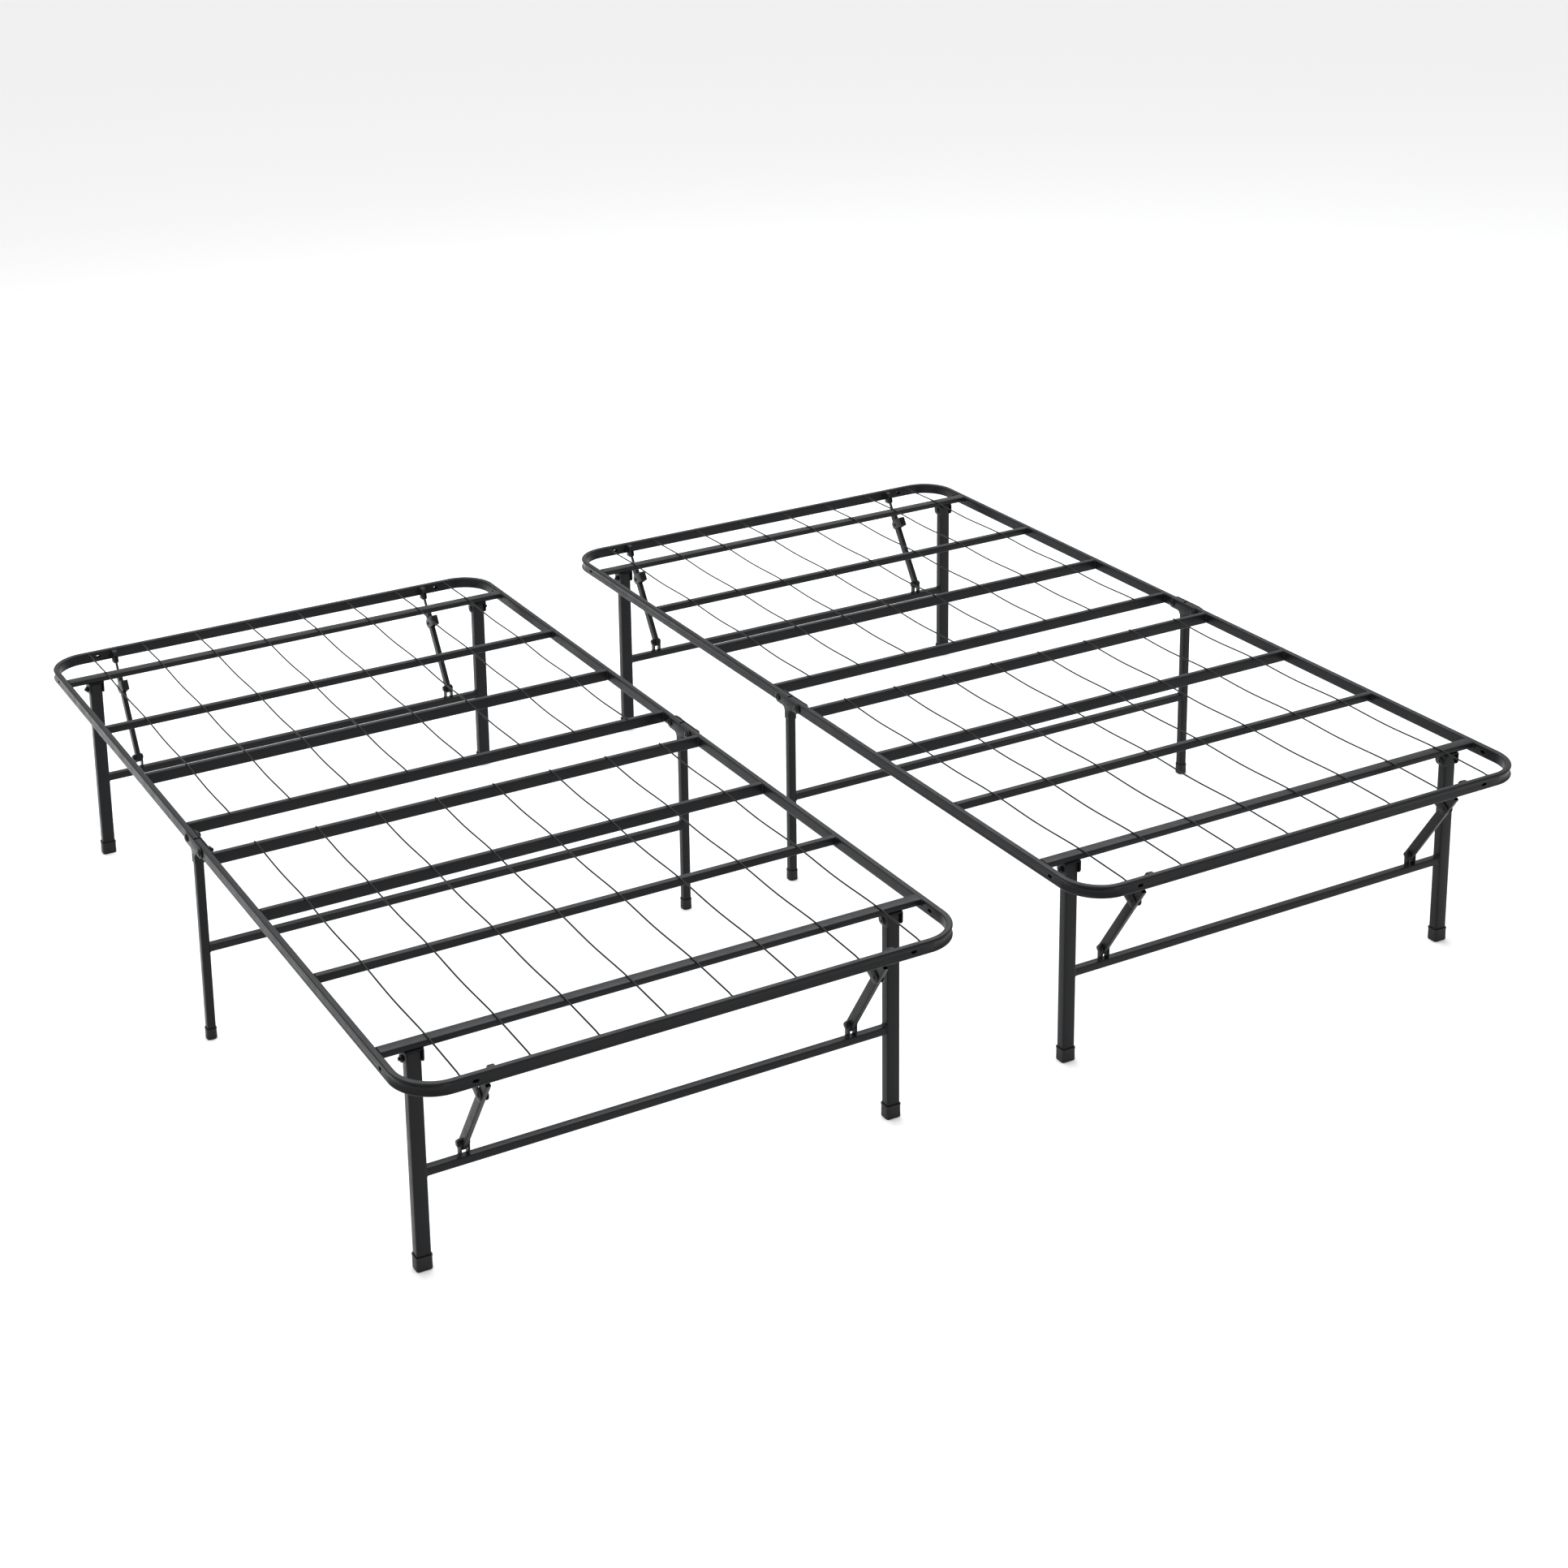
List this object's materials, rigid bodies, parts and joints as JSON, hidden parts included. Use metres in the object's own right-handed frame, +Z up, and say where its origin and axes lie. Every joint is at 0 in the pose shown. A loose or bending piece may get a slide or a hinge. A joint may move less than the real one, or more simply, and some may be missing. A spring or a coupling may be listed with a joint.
{
  "type": "metal bed frame",
  "caption": "Matching black steel folding bed frames on legs, with hinged slatted wire decks and latched braces, set side by side to push together into one wide bed.",
  "frame": {"origin": "floor level, centre of the pair of frames as they stand side by side", "axes": "+X across both frames from the first to the second, +Y along the beds, +Z up"},
  "size_m": [2.2306, 1.905, 0.3944],
  "materials": {
    "satin_black_coat": "satin black powder coat",
    "blackened_steel": "blackened bolts and stamped latches, a little glossier than the tubes",
    "black_plastic": "moulded black plastic foot caps"
  },
  "bodies": {
    "a_middle": {"a_middle_legs": "satin_black_coat", "a_middle_foot_left": "black_plastic", "a_near_bolt_left": "blackened_steel", "a_far_bolt_left": "blackened_steel", "a_middle_foot_right": "black_plastic", "a_near_bolt_right": "blackened_steel", "a_far_bolt_right": "blackened_steel"},
    "a_near_deck": {"a_near_rail": "satin_black_coat", "a_near_slats": "satin_black_coat"},
    "a_near_leg_frame": {"a_near_legs": "satin_black_coat", "a_near_foot_left": "black_plastic", "a_near_foot_right": "black_plastic"},
    "a_near_upper_braces": {"a_near_brace_bar_left": "satin_black_coat", "a_near_brace_bar_right": "satin_black_coat"},
    "a_near_lower_braces": {"a_near_brace_tube_left": "satin_black_coat", "a_near_brace_tube_right": "satin_black_coat"},
    "a_near_latch_left": {"a_near_latch_left": "blackened_steel"},
    "a_near_latch_right": {"a_near_latch_right": "blackened_steel"},
    "a_far_deck": {"a_far_rail": "satin_black_coat", "a_far_slats": "satin_black_coat"},
    "a_far_leg_frame": {"a_far_legs": "satin_black_coat", "a_far_foot_left": "black_plastic", "a_far_foot_right": "black_plastic"},
    "a_far_upper_braces": {"a_far_brace_bar_left": "satin_black_coat", "a_far_brace_bar_right": "satin_black_coat"},
    "a_far_lower_braces": {"a_far_brace_tube_left": "satin_black_coat", "a_far_brace_tube_right": "satin_black_coat"},
    "a_far_latch_left": {"a_far_latch_left": "blackened_steel"},
    "a_far_latch_right": {"a_far_latch_right": "blackened_steel"},
    "b_middle": {"b_middle_legs": "satin_black_coat", "b_middle_foot_left": "black_plastic", "b_near_bolt_left": "blackened_steel", "b_far_bolt_left": "blackened_steel", "b_middle_foot_right": "black_plastic", "b_near_bolt_right": "blackened_steel", "b_far_bolt_right": "blackened_steel"},
    "b_near_deck": {"b_near_rail": "satin_black_coat", "b_near_slats": "satin_black_coat"},
    "b_near_leg_frame": {"b_near_legs": "satin_black_coat", "b_near_foot_left": "black_plastic", "b_near_foot_right": "black_plastic"},
    "b_near_upper_braces": {"b_near_brace_bar_left": "satin_black_coat", "b_near_brace_bar_right": "satin_black_coat"},
    "b_near_lower_braces": {"b_near_brace_tube_left": "satin_black_coat", "b_near_brace_tube_right": "satin_black_coat"},
    "b_near_latch_left": {"b_near_latch_left": "blackened_steel"},
    "b_near_latch_right": {"b_near_latch_right": "blackened_steel"},
    "b_far_deck": {"b_far_rail": "satin_black_coat", "b_far_slats": "satin_black_coat"},
    "b_far_leg_frame": {"b_far_legs": "satin_black_coat", "b_far_foot_left": "black_plastic", "b_far_foot_right": "black_plastic"},
    "b_far_upper_braces": {"b_far_brace_bar_left": "satin_black_coat", "b_far_brace_bar_right": "satin_black_coat"},
    "b_far_lower_braces": {"b_far_brace_tube_left": "satin_black_coat", "b_far_brace_tube_right": "satin_black_coat"},
    "b_far_latch_left": {"b_far_latch_left": "blackened_steel"},
    "b_far_latch_right": {"b_far_latch_right": "blackened_steel"}
  },
  "joints": [
    {"name": "a_near_deck_fold", "type": "hinge", "parent": "a_middle", "child": "a_near_deck", "pos_m": [-0.614, -0.034, 0.381], "axis": [1, 0, 0], "range_deg": [0, 90]},
    {"name": "a_near_leg_fold", "type": "hinge", "parent": "a_near_deck", "child": "a_near_leg_frame", "pos_m": [-0.614, -0.8165, 0.3665], "axis": [1, 0, 0], "range_deg": [0, 90]},
    {"name": "a_near_upper_brace_turn", "type": "hinge", "parent": "a_near_deck", "child": "a_near_upper_braces", "pos_m": [-0.614, -0.9298, 0.372], "axis": [1, 0, 0], "range_deg": [0, 56.47]},
    {"name": "a_near_lower_brace_turn", "type": "hinge", "parent": "a_near_leg_frame", "child": "a_near_lower_braces", "pos_m": [-0.614, -0.8165, 0.195], "axis": [1, 0, 0], "range_deg": [-33.93, 0]},
    {"name": "a_near_latch_left_press", "type": "hinge", "parent": "a_near_lower_braces", "child": "a_near_latch_left", "pos_m": [-0.966, -0.89637, 0.31978], "axis": [-1, 0, 0], "range_deg": [0, 25], "stiffness_Nm_per_rad": 0.4, "springref_deg": -20.05},
    {"name": "a_near_latch_right_press", "type": "hinge", "parent": "a_near_lower_braces", "child": "a_near_latch_right", "pos_m": [-0.262, -0.89637, 0.31978], "axis": [-1, 0, 0], "range_deg": [0, 25], "stiffness_Nm_per_rad": 0.4, "springref_deg": -20.05},
    {"name": "a_far_deck_fold", "type": "hinge", "parent": "a_middle", "child": "a_far_deck", "pos_m": [-0.614, 0.034, 0.381], "axis": [-1, 0, 0], "range_deg": [0, 90]},
    {"name": "a_far_leg_fold", "type": "hinge", "parent": "a_far_deck", "child": "a_far_leg_frame", "pos_m": [-0.614, 0.8165, 0.3665], "axis": [-1, 0, 0], "range_deg": [0, 90]},
    {"name": "a_far_upper_brace_turn", "type": "hinge", "parent": "a_far_deck", "child": "a_far_upper_braces", "pos_m": [-0.614, 0.9298, 0.372], "axis": [-1, 0, 0], "range_deg": [0, 56.47]},
    {"name": "a_far_lower_brace_turn", "type": "hinge", "parent": "a_far_leg_frame", "child": "a_far_lower_braces", "pos_m": [-0.614, 0.8165, 0.195], "axis": [-1, 0, 0], "range_deg": [-33.93, 0]},
    {"name": "a_far_latch_left_press", "type": "hinge", "parent": "a_far_lower_braces", "child": "a_far_latch_left", "pos_m": [-0.966, 0.89637, 0.31978], "axis": [1, 0, 0], "range_deg": [0, 25], "stiffness_Nm_per_rad": 0.4, "springref_deg": -20.05},
    {"name": "a_far_latch_right_press", "type": "hinge", "parent": "a_far_lower_braces", "child": "a_far_latch_right", "pos_m": [-0.262, 0.89637, 0.31978], "axis": [1, 0, 0], "range_deg": [0, 25], "stiffness_Nm_per_rad": 0.4, "springref_deg": -20.05},
    {"name": "b_near_deck_fold", "type": "hinge", "parent": "b_middle", "child": "b_near_deck", "pos_m": [0.608, -0.034, 0.381], "axis": [1, 0, 0], "range_deg": [0, 90]},
    {"name": "b_near_leg_fold", "type": "hinge", "parent": "b_near_deck", "child": "b_near_leg_frame", "pos_m": [0.608, -0.8165, 0.3665], "axis": [1, 0, 0], "range_deg": [0, 90]},
    {"name": "b_near_upper_brace_turn", "type": "hinge", "parent": "b_near_deck", "child": "b_near_upper_braces", "pos_m": [0.608, -0.9298, 0.372], "axis": [1, 0, 0], "range_deg": [0, 56.47]},
    {"name": "b_near_lower_brace_turn", "type": "hinge", "parent": "b_near_leg_frame", "child": "b_near_lower_braces", "pos_m": [0.608, -0.8165, 0.195], "axis": [1, 0, 0], "range_deg": [-33.93, 0]},
    {"name": "b_near_latch_left_press", "type": "hinge", "parent": "b_near_lower_braces", "child": "b_near_latch_left", "pos_m": [0.256, -0.89637, 0.31978], "axis": [-1, 0, 0], "range_deg": [0, 25], "stiffness_Nm_per_rad": 0.4, "springref_deg": -20.05},
    {"name": "b_near_latch_right_press", "type": "hinge", "parent": "b_near_lower_braces", "child": "b_near_latch_right", "pos_m": [0.96, -0.89637, 0.31978], "axis": [-1, 0, 0], "range_deg": [0, 25], "stiffness_Nm_per_rad": 0.4, "springref_deg": -20.05},
    {"name": "b_far_deck_fold", "type": "hinge", "parent": "b_middle", "child": "b_far_deck", "pos_m": [0.608, 0.034, 0.381], "axis": [-1, 0, 0], "range_deg": [0, 90]},
    {"name": "b_far_leg_fold", "type": "hinge", "parent": "b_far_deck", "child": "b_far_leg_frame", "pos_m": [0.608, 0.8165, 0.3665], "axis": [-1, 0, 0], "range_deg": [0, 90]},
    {"name": "b_far_upper_brace_turn", "type": "hinge", "parent": "b_far_deck", "child": "b_far_upper_braces", "pos_m": [0.608, 0.9298, 0.372], "axis": [-1, 0, 0], "range_deg": [0, 56.47]},
    {"name": "b_far_lower_brace_turn", "type": "hinge", "parent": "b_far_leg_frame", "child": "b_far_lower_braces", "pos_m": [0.608, 0.8165, 0.195], "axis": [-1, 0, 0], "range_deg": [-33.93, 0]},
    {"name": "b_far_latch_left_press", "type": "hinge", "parent": "b_far_lower_braces", "child": "b_far_latch_left", "pos_m": [0.256, 0.89637, 0.31978], "axis": [1, 0, 0], "range_deg": [0, 25], "stiffness_Nm_per_rad": 0.4, "springref_deg": -20.05},
    {"name": "b_far_latch_right_press", "type": "hinge", "parent": "b_far_lower_braces", "child": "b_far_latch_right", "pos_m": [0.96, 0.89637, 0.31978], "axis": [1, 0, 0], "range_deg": [0, 25], "stiffness_Nm_per_rad": 0.4, "springref_deg": -20.05},
    {"name": "frames_together", "type": "slide", "parent": "a_middle", "child": "b_middle", "axis": [-1, 0, 0], "range_m": [0, 0.21]}
  ],
  "couplings": [
    {"joint": "a_near_upper_brace_turn", "follows": "a_near_leg_fold", "ratio": 0.6252},
    {"joint": "a_near_lower_brace_turn", "follows": "a_near_leg_fold", "ratio": -0.3748},
    {"joint": "a_far_upper_brace_turn", "follows": "a_far_leg_fold", "ratio": 0.6252},
    {"joint": "a_far_lower_brace_turn", "follows": "a_far_leg_fold", "ratio": -0.3748},
    {"joint": "b_near_upper_brace_turn", "follows": "b_near_leg_fold", "ratio": 0.6252},
    {"joint": "b_near_lower_brace_turn", "follows": "b_near_leg_fold", "ratio": -0.3748},
    {"joint": "b_far_upper_brace_turn", "follows": "b_far_leg_fold", "ratio": 0.6252},
    {"joint": "b_far_lower_brace_turn", "follows": "b_far_leg_fold", "ratio": -0.3748}
  ]
}
